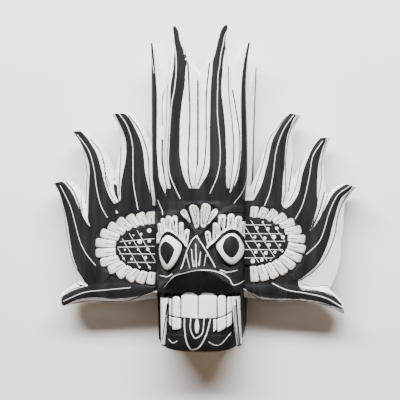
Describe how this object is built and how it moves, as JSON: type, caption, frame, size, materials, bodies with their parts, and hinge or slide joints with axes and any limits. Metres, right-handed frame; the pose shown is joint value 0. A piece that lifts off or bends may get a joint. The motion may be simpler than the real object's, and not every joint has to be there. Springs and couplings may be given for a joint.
{
  "type": "carved wooden fire-devil wall mask",
  "caption": "Carved and painted wooden demon mask: a hollow-backed upright face block with a flame crown, fangs and tongue, and a flaming side wing with a petalled disc on each side.",
  "frame": {"origin": "centre of the bounding box, at the plane of the back rims on which the mask lies", "axes": "+X to the viewer's right across the wings, +Y from the chin to the crown, +Z out of the face"},
  "size_m": [0.2812, 0.2962, 0.0658],
  "materials": {
    "black_painted_wood": "matt black and white paint over a carved light wood",
    "white_painted_wood": "matt white and black paint over a carved light wood"
  },
  "bodies": {
    "root": {"face_block": "black_painted_wood", "left_wing": "white_painted_wood", "right_wing": "white_painted_wood"}
  },
  "joints": []
}
